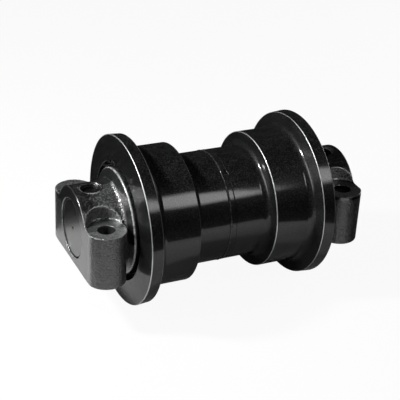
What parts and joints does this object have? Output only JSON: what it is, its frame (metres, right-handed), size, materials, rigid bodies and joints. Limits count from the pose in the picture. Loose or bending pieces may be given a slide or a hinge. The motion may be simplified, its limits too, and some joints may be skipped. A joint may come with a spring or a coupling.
{
  "type": "track roller",
  "caption": "Flanged track roller: a welded shell that turns on a fixed shaft through sealed bushings, with a cast bolt-down collar at each end for a crawler track frame.",
  "frame": {"origin": "middle of the roller, on the shaft axis", "axes": "+X along the shaft towards the end with the oil plug, +Z away from the track frame that the collars bolt to"},
  "size_m": [0.324, 0.1878, 0.1878],
  "materials": {
    "painted_forging": "satin black paint on turned forged steel",
    "painted_casting": "thin satin black paint on rough cast steel",
    "painted_weld": "satin black paint over a dressed weld",
    "bronze_lining": "turned bronze on a steel back",
    "seal_iron": "hard cast iron with a lapped face",
    "nitrile_rubber": "black moulded rubber",
    "ground_steel": "turned and ground carbon steel, thinly painted at the ends",
    "spring_steel": "oiled dark steel"
  },
  "bodies": {
    "carrier": {"shaft": "ground_steel", "collar_left": "painted_casting", "collar_right": "painted_casting", "collar_seal_ring_left": "seal_iron", "collar_seal_ring_right": "seal_iron", "collar_rubber_ring_left": "nitrile_rubber", "collar_rubber_ring_right": "nitrile_rubber", "shaft_cord_ring_left": "nitrile_rubber", "shaft_cord_ring_right": "nitrile_rubber", "lock_pin_left": "ground_steel", "lock_pin_right": "ground_steel", "snap_ring_left": "spring_steel", "snap_ring_right": "spring_steel", "oil_plug": "spring_steel"},
    "roller": {"shell_half_left": "painted_forging", "shell_half_right": "painted_forging", "weld_seam": "painted_weld", "bushing_left": "bronze_lining", "bushing_right": "bronze_lining", "shell_seal_ring_left": "seal_iron", "shell_seal_ring_right": "seal_iron", "shell_rubber_ring_left": "nitrile_rubber", "shell_rubber_ring_right": "nitrile_rubber"}
  },
  "joints": [
    {"name": "roller_spin", "type": "hinge", "parent": "carrier", "child": "roller", "pos_m": [0, 0, 0], "axis": [1, 0, 0], "continuous": true}
  ]
}
